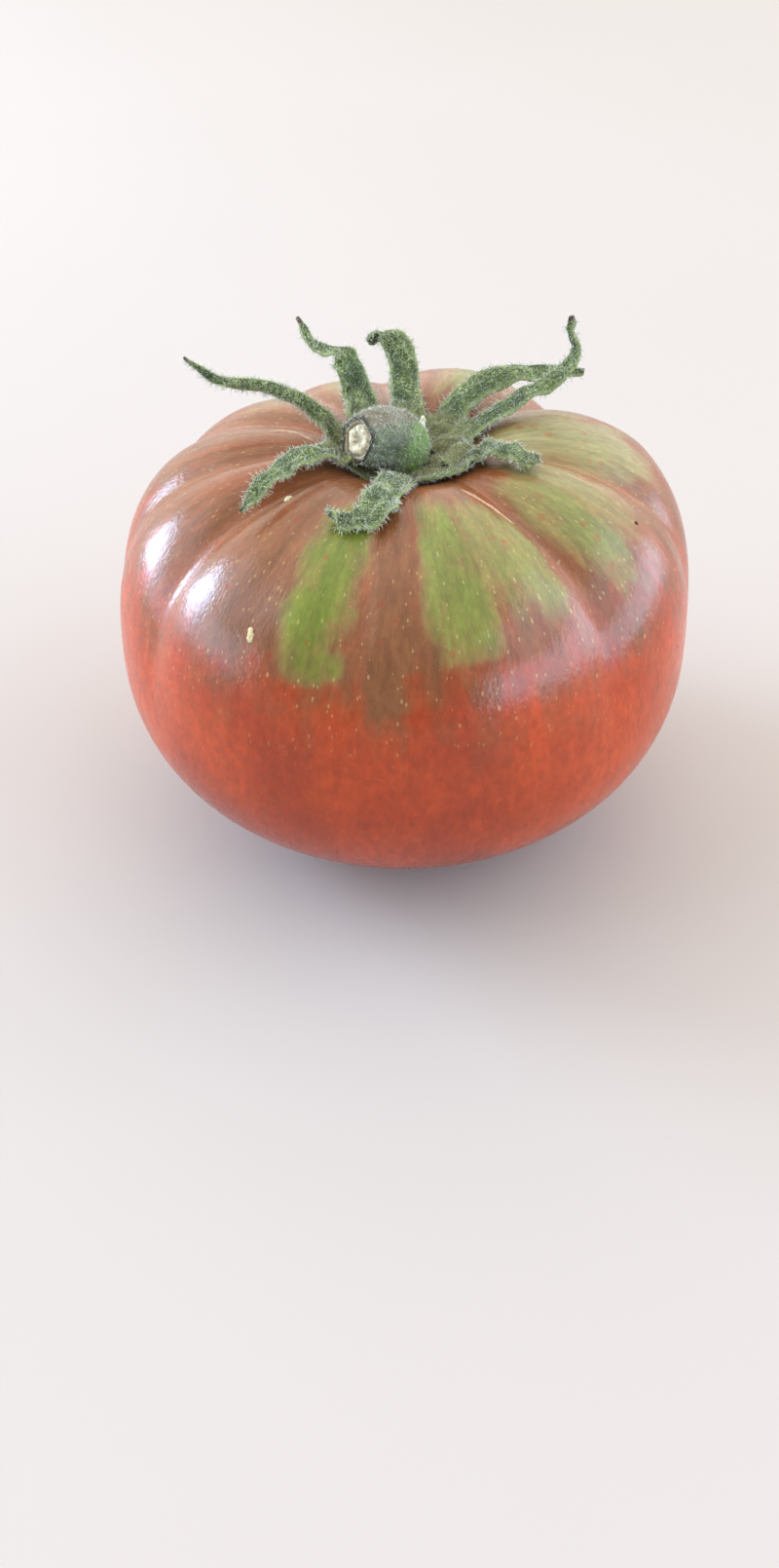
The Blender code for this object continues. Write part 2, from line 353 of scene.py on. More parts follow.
class TomatoStemSettings(bpy.types.PropertyGroup):
    bark: FloatVectorProperty(
        name="Bark", description="Dark green bark", subtype="COLOR", default=(0.15, 0.19, 0.07)
    )
    fresh: FloatVectorProperty(
        name="Fresh side",
        description="Bright green side",
        subtype="COLOR",
        default=(0.17, 0.30, 0.035),
    )
    withered: FloatVectorProperty(
        name="Withered top",
        description="Brownish upper side",
        subtype="COLOR",
        default=(0.22, 0.18, 0.10),
    )
    wood: FloatVectorProperty(
        name="Cut wood", description="Pale cut end", subtype="COLOR", default=(0.70, 0.62, 0.40)
    )
    pith: FloatVectorProperty(
        name="Pith",
        description="Brown pith of the cut",
        subtype="COLOR",
        default=(0.25, 0.20, 0.12),
    )


class TomatoStageSettings(bpy.types.PropertyGroup):
    floor: FloatVectorProperty(
        name="Floor", description="Pale floor", subtype="COLOR", default=(0.47, 0.42, 0.37)
    )
    window: FloatVectorProperty(
        name="Window light",
        description="Cool soft light",
        subtype="COLOR",
        default=(0.52, 0.71, 1.0),
    )
    window_glow: FloatProperty(
        name="Window glow", description="Brightness of all windows", default=1.0
    )
    room: FloatVectorProperty(
        name="Room light",
        description="Light from all round",
        subtype="COLOR",
        default=(1.0, 0.93, 0.86),
    )
    room_glow: FloatProperty(name="Room glow", description="Brightness of the room", default=1.9)


def smooth_step(start, end, value):
    share = np.clip((value - start) / (end - start), 0, 1)
    return share * share * (3 - 2 * share)


def unit(vectors):
    return vectors / np.linalg.norm(vectors, axis=-1, keepdims=True)


def ripple(points, wavelength, seed):
    """Smooth noise of about -1 to 1 at points, from a few waves in fixed directions."""
    rng = np.random.default_rng(seed)
    total = np.zeros(len(points))
    for _ in range(7):
        direction = unit(rng.normal(size=points.shape[1]))
        length = wavelength * rng.uniform(0.6, 1.6)
        total += np.sin(points @ direction * 2 * np.pi / length + rng.uniform(0, 2 * np.pi))
    return total / 3.5


def curve_through(points, share):
    """Points of a Catmull-Rom curve through the given ones, spaced by share of its knots."""
    points = np.array(points, float)
    knots = np.vstack([2 * points[0] - points[1], points, 2 * points[-1] - points[-2]])
    place = np.asarray(share) * (len(points) - 1)
    start = np.clip(place.astype(int), 0, len(points) - 2)
    t = (place - start)[:, None]
    p0, p1, p2, p3 = (knots[start + i] for i in range(4))
    bend = (2 * p0 - 5 * p1 + 4 * p2 - p3) * t + (3 * p1 - 3 * p2 + p3 - p0) * t * t
    return p1 + 0.5 * t * (p2 - p0 + bend)


def along_knots(values, share):
    return np.interp(share * (len(values) - 1), range(len(values)), values)


def from_cavity(azimuth, reach, height):
    turn = np.radians(azimuth)
    x = CAVITY_CENTRE[0] + reach * np.sin(turn)
    return np.array([x, CAVITY_CENTRE[1] - reach * np.cos(turn), height])


def drum_profile():
    """The drum's side view from the top pole to the base: share of the way, radius, height, normal."""
    angle = np.linspace(np.pi / 2, -np.pi / 2, 2401)
    upper = angle > 0
    roundness = np.where(upper, SHOULDER_ROUNDNESS, BELLY_ROUNDNESS)
    radius = FRUIT_RADIUS * np.abs(np.cos(angle)) ** (2 / roundness)
    rise = np.abs(np.sin(angle)) ** (2 / roundness)
    height = BELLY_HEIGHT + np.where(upper, SHOULDER_HEIGHT, -BELLY_HEIGHT) * rise
    length = np.concatenate([[0], np.cumsum(np.hypot(np.diff(radius), np.diff(height)))])
    share = np.linspace(0, 1, 241)
    radius = np.interp(share * length[-1], length, radius)
    height = np.interp(share * length[-1], length, height)
    out = -np.gradient(height)
    up = np.gradient(radius)
    norm = np.hypot(out, up)
    return share, radius, height, out / norm, up / norm


def furrow_shape(azimuth, share):
    """Depth in millimetres of the furrows, and how close a point is to the bottom of one."""
    depth = np.zeros_like(azimuth)
    bottom = np.zeros_like(azimuth)
    for centre, deepest, spread, rounding, reach in FURROWS:
        apart = (azimuth - centre + 180) % 360 - 180
        fade = smooth_step(0.04, 0.2, share) * (1 - smooth_step(reach - 0.22, reach + 0.08, share))
        depth += deepest * np.exp(-(np.hypot(apart, rounding) - rounding) / spread) * fade
        bottom = np.maximum(bottom, np.exp(-((apart / 3.0) ** 2)) * fade * min(deepest / 2, 1))
    return depth, bottom


def fruit_skin(azimuth, share):
    """Points of the skin in millimetres, by azimuth in degrees and share of the way to the base."""
    shares, radii, heights, outs, ups = drum_profile()
    out = np.interp(share, shares, outs)
    up = np.interp(share, shares, ups)
    depth, _ = furrow_shape(azimuth, share)
    angles, lifts = np.array(SHOULDER_LIFTS).T
    lift = np.interp(azimuth, angles, lifts, period=360)
    lift = lift * smooth_step(0.05, 0.22, share) * (1 - smooth_step(0.3, 0.55, share))
    radius = np.interp(share, shares, radii) + out * (0.5 * lift - depth)
    height = np.interp(share, shares, heights) + lift - up * depth
    turn = np.radians(azimuth)
    x = radius * np.sin(turn)
    y = -radius * np.cos(turn)
    reach = np.hypot(x - CAVITY_CENTRE[0], y - CAVITY_CENTRE[1])
    height -= CAVITY_DEPTH * np.exp(-((reach / CAVITY_RADIUS) ** 2)) * (share < 0.45)
    scar = 0.35 * np.exp(-((np.hypot(x, y) / 3.0) ** 4)) * (share > 0.6)
    return np.stack([x, y, np.maximum(height, FOOT_CUT) - FOOT_CUT + scar], axis=-1)


def patch_mask(azimuth, down, centre, half_width, start, end, strength, wobble):
    """A soft-edged patch of skin, rounded at its lower end."""
    apart = np.abs((azimuth + 1.2 * wobble - centre + 180) % 360 - 180) / half_width
    foot = down + 2.0 * wobble + 5.0 * np.clip(apart, 0, 1.5) ** 2
    side = 1 - smooth_step(0.3, 1.75, apart)
    lower = 1 - smooth_step(end - 8, end + 5, foot)
    return strength * side * smooth_step(start - 6, start + 4, down) * lower


def new_piece(name, bm, material, node_names=()):
    """Turns a bmesh in millimetres into a smooth piece that rides on the fruit."""
    bmesh.ops.scale(bm, vec=(MM, MM, MM), verts=bm.verts)
    mesh = bpy.data.meshes.new(name)
    bm.to_mesh(mesh)
    bm.free()
    mesh.shade_smooth()
    mesh.materials.append(material)
    piece = bpy.data.objects.new(name, mesh)
    bpy.context.scene.collection.objects.link(piece)
    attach(piece, BODY)
    if node_names:
        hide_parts(*node_names)
    return piece


def store(piece, name, values):
    """Keeps one number or one vector per point on the piece, for its material to read."""
    values = np.asarray(values, np.float32)
    kind = "FLOAT_VECTOR" if values.ndim == 2 else "FLOAT"
    layer = piece.data.attributes.new(name, kind, "POINT")
    layer.data.foreach_set("vector" if values.ndim == 2 else "value", values.ravel())


def from_lists(points, faces):
    """A bmesh with these points, in millimetres, and faces."""
    mesh = bpy.data.meshes.new("draft")
    mesh.from_pydata(points, [], faces)
    bm = bmesh.new()
    bm.from_mesh(mesh)
    bpy.data.meshes.remove(mesh)
    return bm


def add_node(tree, kind, inputs=None, **settings):
    """Adds a shader node. Inputs are values, or sockets to link from."""
    made = tree.nodes.new(kind)
    for key, value in settings.items():
        setattr(made, key, value)
    for name, value in (inputs or {}).items():
        if isinstance(value, bpy.types.NodeSocket):
            tree.links.new(value, made.inputs[name])
        else:
            made.inputs[name].default_value = value
    return made


def maths(tree, operation, first, second=0.0, third=0.0):
    inputs = {0: first, 1: second, 2: third}
    return add_node(tree, "ShaderNodeMath", inputs, operation=operation).outputs[0]


def blend(tree, factor, first, second, mode="MIX"):
    """A colour between two others. Colours are sockets or RGB triples."""
    made = add_node(tree, "ShaderNodeMix", {0: factor}, data_type="RGBA", blend_type=mode)
    for place, colour in ((6, first), (7, second)):
        if isinstance(colour, bpy.types.NodeSocket):
            tree.links.new(colour, made.inputs[place])
        else:
            made.inputs[place].default_value = (*colour, 1)
    return made.outputs[2]


def ramp(tree, value, start, end, low=0.0, high=1.0):
    inputs = {0: value, 1: start, 2: end, 3: low, 4: high}
    made = add_node(tree, "ShaderNodeMapRange", inputs, interpolation_type="SMOOTHSTEP")
    return made.outputs[0]


def noise(tree, vector, scale, detail=2.0, roughness=0.5):
    inputs = {"Vector": vector, "Scale": scale, "Detail": detail, "Roughness": roughness}
    return add_node(tree, "ShaderNodeTexNoise", inputs).outputs["Fac"]


def attribute(tree, name, output="Fac"):
    return add_node(tree, "ShaderNodeAttribute", attribute_name=name).outputs[output]


def millimetres(tree):
    """The place on the piece, in millimetres."""
    place = add_node(tree, "ShaderNodeTexCoord").outputs["Object"]
    return add_node(tree, "ShaderNodeVectorMath", {0: place, 3: 1000.0}, operation="SCALE").outputs[0]


def new_group(name, inputs, outputs):
    """An empty shader node group with named sockets. Each is (name, kind, default)."""
    group = bpy.data.node_groups.new(name, "ShaderNodeTree")
    for in_out, sockets in (("INPUT", inputs), ("OUTPUT", outputs)):
        for socket_name, kind, default in sockets:
            socket_type = f"NodeSocket{kind}"
            made = group.interface.new_socket(socket_name, in_out=in_out, socket_type=socket_type)
            if default is not None:
                made.default_value = default
    start = group.nodes.new("NodeGroupInput")
    end = group.nodes.new("NodeGroupOutput")
    return group, start, end


def mottle_group():
    """Uneven colour: broad blotches and fine grain, darker than the colour put in."""
    name = "Mottle"
    if name in bpy.data.node_groups:
        return bpy.data.node_groups[name]
    inputs = (
        ("Vector", "Vector", None),
        ("Colour", "Color", (1, 1, 1, 1)),
        ("Dark Colour", "Color", (0, 0, 0, 1)),
        ("Blotch Scale", "Float", 0.1),
        ("Blotches", "Float", 0.5),
        ("Grain Scale", "Float", 1.0),
        ("Grain", "Float", 0.3),
    )
    group, start, end = new_group(name, inputs, (("Colour", "Color", None),))
    vector, colour, dark, blotch_scale, blotches, grain_scale, grain = start.outputs[:7]
    broad = ramp(group, noise(group, vector, blotch_scale, 3.0), 0.35, 0.68)
    fine = ramp(group, noise(group, vector, grain_scale, 2.0, 0.6), 0.42, 0.72)
    first = blend(group, maths(group, "MULTIPLY", broad, blotches), colour, dark)
    second = blend(group, maths(group, "MULTIPLY", fine, grain), first, dark)
    group.links.new(second, end.inputs[0])
    return group


def fleck_group():
    """A mask of small scattered flecks, each its own size."""
    name = "Flecks"
    if name in bpy.data.node_groups:
        return bpy.data.node_groups[name]
    inputs = (
        ("Vector", "Vector", None),
        ("Scale", "Float", 1.0),
        ("Size", "Float", 0.2),
        ("Share", "Float", 0.5),
    )
    group, start, end = new_group(name, inputs, (("Mask", "Float", None),))
    vector, scale, size, share = start.outputs[:4]
    cells = add_node(group, "ShaderNodeTexVoronoi", {"Vector": vector, "Scale": scale})
    chance = add_node(group, "ShaderNodeSeparateColor", {"Color": cells.outputs["Color"]})
    wide = maths(group, "MULTIPLY", size, chance.outputs[1])
    edge = maths(group, "SUBTRACT", wide, cells.outputs["Distance"])
    mask = ramp(group, edge, 0.0, 0.06)
    chosen = maths(group, "LESS_THAN", chance.outputs[0], share)
    group.links.new(maths(group, "MULTIPLY", mask, chosen), end.inputs[0])
    return group


def down_group():
    """Short woolly down: pale threads over a darker ground, with their height."""
    name = "Down"
    if name in bpy.data.node_groups:
        return bpy.data.node_groups[name]
    inputs = (
        ("Vector", "Vector", None),
        ("Ground", "Color", (0, 0, 0, 1)),
        ("Down", "Color", (1, 1, 1, 1)),
        ("Scale", "Float", 1.0),
        ("Amount", "Float", 0.5),
    )
    outputs = (("Colour", "Color", None), ("Height", "Float", None))
    group, start, end = new_group(name, inputs, outputs)
    vector, ground, down, scale, amount = start.outputs[:5]
    threads = add_node(
        group,
        "ShaderNodeTexNoise",
        {"Vector": vector, "Scale": scale, "Detail": 3.0, "Roughness": 0.65, "Distortion": 1.6},
    ).outputs["Fac"]
    ridge = maths(group, "ABSOLUTE", maths(group, "SUBTRACT", threads, 0.5))
    thread = ramp(group, ridge, 0.0, 0.075, 1.0, 0.0)
    patchy = ramp(group, noise(group, vector, maths(group, "MULTIPLY", scale, 0.3), 1.0), 0.3, 0.65)
    cover = maths(group, "MULTIPLY", maths(group, "MULTIPLY", thread, amount), patchy)
    group.links.new(blend(group, cover, ground, down), end.inputs[0])
    group.links.new(thread, end.inputs[1])
    return group


def use_group(tree, group, inputs):
    made = tree.nodes.new("ShaderNodeGroup")
    made.node_tree = group
    for name, value in inputs.items():
        if isinstance(value, bpy.types.NodeSocket):
            tree.links.new(value, made.inputs[name])
        elif isinstance(value, (int, float)):
            made.inputs[name].default_value = value
        else:
            made.inputs[name].default_value = (*value, 1)
    return made


def mottled(tree, vector, colour, dark, blotches, grain):
    """A colour with darker blotches and grain, each given as its scale and strength."""
    inputs = {
        "Vector": vector,
        "Colour": colour,
        "Dark Colour": dark,
        "Blotch Scale": blotches[0],
        "Blotches": blotches[1],
        "Grain Scale": grain[0],
        "Grain": grain[1],
    }
    return use_group(tree, mottle_group(), inputs).outputs[0]


def fleck_mask(tree, vector, scale, size, share):
    inputs = {"Vector": vector, "Scale": scale, "Size": size, "Share": share}
    return use_group(tree, fleck_group(), inputs).outputs[0]


def new_material(name, **constants):
    """A material, its tree and its Principled shader, with constants such as roughness set."""
    material = bpy.data.materials.new(name)
    material.use_nodes = True
    shader = material.node_tree.nodes["Principled BSDF"]
    for key, value in constants.items():
        shader.inputs[key.replace("_", " ")].default_value = value
    return material, material.node_tree, shader


def add_bump(tree, shader, height, distance):
    inputs = {"Height": height, "Distance": distance}
    bump = add_node(tree, "ShaderNodeBump", inputs)
    tree.links.new(bump.outputs["Normal"], shader.inputs["Normal"])


def skin_material(settings):
    material, tree, shader = new_material(
        "tomato_skin",
        IOR=1.46,
        Subsurface_Weight=0.08,
        Subsurface_Radius=(0.004, 0.0015, 0.0008),
    )
    grain = attribute(tree, "grain", "Vector")
    object_mm = millimetres(tree)
    ripe = mottled(tree, object_mm, settings.ripe, settings.deep, (0.07, 0.9), (0.5, 0.45))
    long_grain = add_node(
        tree, "ShaderNodeVectorMath", {0: grain, 1: (1, 1, 0.35)}, operation="MULTIPLY"
    ).outputs[0]
    drift = maths(tree, "SUBTRACT", noise(tree, long_grain, 0.4, 4.0, 0.62), 0.5)
    dusk_mask = ramp(tree, maths(tree, "MULTIPLY_ADD", drift, 0.9, attribute(tree, "dusk")), 0.0, 0.9)
    dusky = blend(tree, dusk_mask, ripe, settings.dusk)
    furrow_mask = maths(tree, "MULTIPLY", attribute(tree, "furrow"), attribute(tree, "shoulder"))
    amber = blend(tree, maths(tree, "MULTIPLY", furrow_mask, 0.25), dusky, settings.amber)
    ragged = maths(tree, "SUBTRACT", noise(tree, grain, 0.9, 4.0, 0.7), 0.5)
    unripe = maths(tree, "MULTIPLY_ADD", ragged, 0.5, attribute(tree, "green"))
    unripe = maths(tree, "MULTIPLY_ADD", drift, 0.6, unripe)
    unripe = maths(tree, "MULTIPLY", unripe, attribute(tree, "green_most"))
    worn = ramp(tree, noise(tree, grain, 0.35, 4.0, 0.6), 0.45, 0.75, 0.0, 0.35)
    unripe = maths(tree, "SUBTRACT", unripe, worn)
    halo = blend(tree, ramp(tree, unripe, -0.05, 0.65), amber, settings.turning)
    green_tone = blend(tree, attribute(tree, "olive"), settings.green, settings.olive)
    coloured = blend(tree, ramp(tree, unripe, 0.15, 1.15), halo, green_tone)
    fine_shade = ramp(tree, noise(tree, grain, 1.3, 3.0, 0.65), 0.3, 0.75, 0.84, 1.1)
    long_shade = ramp(tree, noise(tree, long_grain, 0.55, 4.0, 0.65), 0.3, 0.7, 0.8, 1.12)
    long_shade = maths(
        tree, "POWER", long_shade, ramp(tree, attribute(tree, "shoulder"), 0.0, 1.0, 0.35, 1.0)
    )
    shade = maths(tree, "MULTIPLY", fine_shade, long_shade)
    shade_colour = add_node(tree, "ShaderNodeCombineColor", {0: shade, 1: shade, 2: shade}).outputs[0]
    varied = blend(tree, 1.0, coloured, shade_colour, "MULTIPLY")
    small = fleck_mask(tree, grain, 1.8, 0.3, 0.6)
    large = fleck_mask(tree, grain, 0.9, 0.22, 0.25)
    upper = ramp(tree, attribute(tree, "down"), 0.38, 0.5, 1.0, 0.12)
    flecks = maths(tree, "MULTIPLY", maths(tree, "MAXIMUM", small, large), upper)
    freckled = blend(tree, maths(tree, "MULTIPLY", flecks, 0.34), varied, settings.fleck)
    specks = fleck_mask(tree, object_mm, 0.55, 0.4, 0.3)
    finished = blend(tree, maths(tree, "MULTIPLY", specks, 0.3), freckled, settings.deep)
    blossom = blend(tree, attribute(tree, "blossom"), finished, BLOSSOM_BROWN)
    tree.links.new(blossom, shader.inputs["Base Color"])
    gloss = ramp(tree, noise(tree, grain, 0.7, 3.0), 0.3, 0.7, 0.2, 0.3)
    tree.links.new(gloss, shader.inputs["Roughness"])
    cells = add_node(tree, "ShaderNodeTexVoronoi", {"Vector": grain, "Scale": 2.6})
    pimples = cells.outputs["Distance"]
    height = maths(tree, "MULTIPLY_ADD", pimples, 0.5, noise(tree, object_mm, 1.1, 2.0))
    add_bump(tree, shader, height, 0.00004)
    return material


def leaf_material(settings):
    material, tree, shader = new_material(
        "hairy_leaf", Roughness=0.8, Sheen_Weight=0.08, Sheen_Roughness=0.4
    )
    object_mm = millimetres(tree)
    across = attribute(tree, "across")
    along = attribute(tree, "along")
    edge = maths(tree, "ABSOLUTE", across)
    dark = [0.45 * part for part in settings.leaf]
    ground = mottled(tree, object_mm, settings.leaf, dark, (0.25, 0.6), (1.6, 0.5))
    inner = ramp(tree, attribute(tree, "reach"), 7.0, 12.5, 1.0, 0.0)
    ground = blend(tree, maths(tree, "MULTIPLY", inner, 0.75), ground, settings.olive)
    pale = blend(tree, ramp(tree, edge, 0.7, 1.0, 0.0, 0.6), ground, settings.mint)
    cover = ramp(tree, attribute(tree, "reach"), 6.0, 14.0, 0.5, 1.0)
    downy = use_group(
        tree,
        down_group(),
        {"Vector": object_mm, "Ground": pale, "Down": settings.mint, "Scale": 0.95, "Amount": cover},
    )
    ragged = maths(tree, "ADD", along, maths(tree, "MULTIPLY", noise(tree, object_mm, 0.9, 3.0), 0.08))
    dry = ramp(tree, ragged, 0.98, 1.03)
    coloured = blend(tree, dry, downy.outputs["Colour"], settings.dry)
    tree.links.new(coloured, shader.inputs["Base Color"])
    veins = maths(tree, "SINE", maths(tree, "MULTIPLY", across, 11.0))
    height = maths(tree, "ADD", downy.outputs["Height"], maths(tree, "MULTIPLY", veins, 0.35))
    add_bump(tree, shader, height, 0.00018)
    return material


def stem_material(settings, calyx):
    material, tree, shader = new_material(
        "stem_bark", Roughness=0.8, Sheen_Weight=0.2, Sheen_Roughness=0.4
    )
    object_mm = millimetres(tree)
    dark = [0.4 * part for part in settings.bark]
    bark = mottled(tree, object_mm, settings.bark, dark, (0.4, 0.6), (1.8, 0.6))
    drift = maths(tree, "MULTIPLY", maths(tree, "SUBTRACT", noise(tree, object_mm, 0.6, 3.0), 0.5), 0.6)
    fresh = ramp(tree, maths(tree, "ADD", attribute(tree, "fresh"), drift), 0.05, 1.0)
    withered = ramp(tree, maths(tree, "ADD", attribute(tree, "withered"), drift), 0.3, 0.8)
    ground = blend(tree, fresh, bark, settings.fresh)
    ground = blend(tree, withered, ground, settings.withered)
    inputs = {
        "Vector": object_mm,
        "Ground": ground,
        "Down": calyx.hair,
        "Scale": 1.15,
        "Amount": maths(tree, "MULTIPLY_ADD", fresh, -0.25, 0.42),
    }
    downy = use_group(tree, down_group(), inputs)
    grain = noise(tree, object_mm, 1.4, 4.0, 0.7)
    wood = blend(tree, ramp(tree, grain, 0.45, 0.7), settings.wood, settings.pith)
    ring = attribute(tree, "pith")
    wood = blend(tree, ring, wood, settings.pith)
    cut = blend(tree, attribute(tree, "cut"), downy.outputs["Colour"], wood)
    rim = blend(tree, attribute(tree, "rim"), cut, RIM_BROWN)
    tree.links.new(rim, shader.inputs["Base Color"])
    height = blend(tree, attribute(tree, "cut"), downy.outputs["Height"], grain)
    add_bump(tree, shader, height, 0.0002)
    return material


def hair_material(settings):
    material, tree, shader = new_material("fine_hair", Roughness=0.6)
    dark = [0.55 * part for part in settings.hair]
    colour = blend(tree, attribute(tree, "shade"), dark, settings.hair)
    tree.links.new(colour, shader.inputs["Base Color"])
    return material


def blemish_material(name, colour, dark):
    material, tree, shader = new_material(name, Roughness=0.85)
    object_mm = millimetres(tree)
    spotted = mottled(tree, object_mm, colour, dark, (0.8, 0.6), (3.0, 0.6))
    tree.links.new(spotted, shader.inputs["Base Color"])
    add_bump(tree, shader, noise(tree, object_mm, 3.0, 3.0), 0.0001)
    return material


def floor_material(settings):
    material, tree, shader = new_material("pale_floor", Roughness=0.7)
    coords = add_node(tree, "ShaderNodeTexCoord").outputs["Object"]
    shade = ramp(tree, noise(tree, coords, 6.0, 4.0), 0.3, 0.7, 0.0, 0.25)
    colour = blend(tree, shade, settings.floor, [0.93 * part for part in settings.floor])
    tree.links.new(colour, shader.inputs["Base Color"])
    return material


def grid_faces(rows, columns, wrap):
    """Quads of a grid of points numbered row by row. With wrap, its last column joins its first."""
    row, column = np.meshgrid(np.arange(rows - 1), np.arange(columns - (not wrap)), indexing="ij")
    following = (column + 1) % columns
    corners = (row * columns + column, row * columns + following)
    below = ((row + 1) * columns + following, (row + 1) * columns + column)
    return np.stack([*corners, *below], axis=-1).reshape(-1, 4)


def grid_places(first, second):
    """Every pair of a row's value and a column's value, row by row."""
    rows, columns = np.meshgrid(first, second, indexing="ij")
    return rows.ravel(), columns.ravel()


def plate_height(azimuth, reach):
    """Height of the calyx plate's upper side, which dips into a hollow in front of the stem."""
    distances, heights = np.array(PLATE_HEIGHTS).T
    apart = (azimuth + 14 + 180) % 360 - 180
    hollow = 2.6 * np.exp(-((apart / 34) ** 2)) * np.exp(-(((reach - 7.4) / 1.9) ** 2))
    return np.interp(reach, distances, heights) - hollow


def leaf_strip(line, widths, turns, drops, thickness, seed):
    """A closed, wrinkled leaf along a curved line: points, faces, and where each point is on it."""
    rows, columns = 96, 17
    share, across = grid_places(np.linspace(0, 1, rows), np.linspace(-1, 1, columns))
    knots = [from_cavity(*knot) for knot in line]
    step = 0.5 / rows
    centre = curve_through(knots, share)
    ahead = curve_through(knots, np.clip(share + step, 0, 1))
    behind = curve_through(knots, np.clip(share - step, 0, 1))
    along = unit(ahead - behind)
    outward = unit(knots[-1] - knots[0])
    level = unit(np.cross(outward, (0, 0, 1)))
    side = unit(level - along * (along @ level)[:, None])
    upper = np.cross(side, along)
    turn = np.radians(along_knots(turns, share) + 7 * ripple(share[:, None], 0.3, seed))[:, None]
    side, upper = side * np.cos(turn) + upper * np.sin(turn), upper * np.cos(turn) - side * np.sin(turn)
    ragged = 1 + 0.14 * ripple(np.stack([share * 5, np.sign(across)], 1), 1.0, seed + 1)
    width = along_knots(widths, share) * np.where(np.abs(across) > 0.6, ragged, 1)
    tip = np.sqrt(np.clip((1 - share) * 16, 0, 1))
    drop = np.where(across < 0, drops[0], drops[1]) * np.abs(across) ** 2
    rib = -0.16 * np.exp(-((across / 0.16) ** 2))
    flat = np.stack([share * 24, across * width / 2], 1)
    wrinkle = 0.2 * ripple(flat, 2.4, seed + 2) + 0.3 * ripple(share[:, None] * 24, 8.0, seed + 3)
    wrinkle += 0.45 * across**2 * ripple(np.stack([share * 24, 3 * np.sign(across)], 1), 4.0, seed + 4)
    lift = (rib + wrinkle) * tip * smooth_step(0.0, 0.2, share) - drop
    middle = centre + side * (across * width / 2)[:, None] + upper * lift[:, None]
    half = 0.5 * thickness * (0.22 + 0.78 * np.sqrt(1 - 0.96 * across**2)) * (0.35 + 0.65 * tip)
    top = middle + upper * half[:, None]
    bottom = middle - upper * half[:, None]
    count = rows * columns
    faces = grid_faces(rows, columns, False)
    ring = np.concatenate(
        [
            np.arange(columns),
            np.arange(1, rows) * columns + columns - 1,
            np.arange(columns - 2, -1, -1) + (rows - 1) * columns,
            np.arange(rows - 2, 0, -1) * columns,
        ]
    )
    following = np.roll(ring, -1)
    wall = np.stack([following, ring, ring + count, following + count], axis=1)
    faces = np.concatenate([faces, faces[:, ::-1] + count, wall])
    points = np.concatenate([top, bottom])
    return points, faces, np.tile(share, 2), np.tile(across, 2)


def add_leaf_layers(piece, share, across):
    points = np.array([vert.co for vert in piece.data.vertices]) / MM
    reach = np.hypot(points[:, 0] - CAVITY_CENTRE[0], points[:, 1] - CAVITY_CENTRE[1])
    store(piece, "along", share)
    store(piece, "across", across)
    store(piece, "reach", reach)


def scatter(piece, count, seed):
    """Random points on a piece's faces, in millimetres, with the normals there and a corner point's
    index for each.
    """
    mesh = piece.data
    mesh.calc_loop_triangles()
    points = np.zeros(len(mesh.vertices) * 3)
    mesh.vertices.foreach_get("co", points)
    points = points.reshape(-1, 3) / MM
    normals = np.zeros(len(mesh.vertices) * 3)
    mesh.vertices.foreach_get("normal", normals)
    normals = normals.reshape(-1, 3)
    triangles = np.zeros(len(mesh.loop_triangles) * 3, np.int32)
    mesh.loop_triangles.foreach_get("vertices", triangles)
    triangles = triangles.reshape(-1, 3)
    corners = points[triangles]
    across = np.cross(corners[:, 1] - corners[:, 0], corners[:, 2] - corners[:, 0])
    area = np.linalg.norm(across, axis=1)
    rng = np.random.default_rng(seed)
    chosen = rng.choice(len(area), count, p=area / area.sum())
    weight = rng.dirichlet((1, 1, 1), count)
    place = np.einsum("ij,ijk->ik", weight, corners[chosen])
    facing = unit(np.einsum("ij,ijk->ik", weight, normals[triangles[chosen]]))
    return place, facing, triangles[chosen][:, 0]


def add_hairs(name, roots, normals, lengths, radius, lean, material, seed):
    """Bent, closed, three-sided hairs as one piece."""
    rng = np.random.default_rng(seed)
    count = len(roots)
    heading = unit(normals + lean * rng.normal(size=(count, 3)))
    bend = unit(heading + 0.9 * rng.normal(size=(count, 3)))
    side = unit(np.cross(heading, rng.normal(size=(count, 3))))
    other = np.cross(heading, side)
    length = lengths[:, None]
    start = roots - 0.08 * normals
    middle = start + heading * length * 0.55
    tip = middle + bend * length * 0.45
    ring = []
    for place, thick in ((start, radius), (middle, radius * 0.75)):
        for turn in (0, 2 * np.pi / 3, 4 * np.pi / 3):
            ring.append(place + thick * (side * np.cos(turn) + other * np.sin(turn)))
    points = np.stack([*ring, tip], axis=1).reshape(-1, 3)
    first = np.arange(count)[:, None] * 7
    triangles = np.array([(0, 2, 1), (3, 4, 6), (4, 5, 6), (5, 3, 6)])
    quads = np.array([(0, 1, 4, 3), (1, 2, 5, 4), (2, 0, 3, 5)])
    faces = (first[:, :, None] + triangles[None]).reshape(-1, 3).tolist()
    faces += (first[:, :, None] + quads[None]).reshape(-1, 4).tolist()
    piece = new_piece(name, from_lists(points.tolist(), faces), material)
    store(piece, "shade", np.repeat(rng.uniform(0.2, 1.0, count), 7))
    return piece


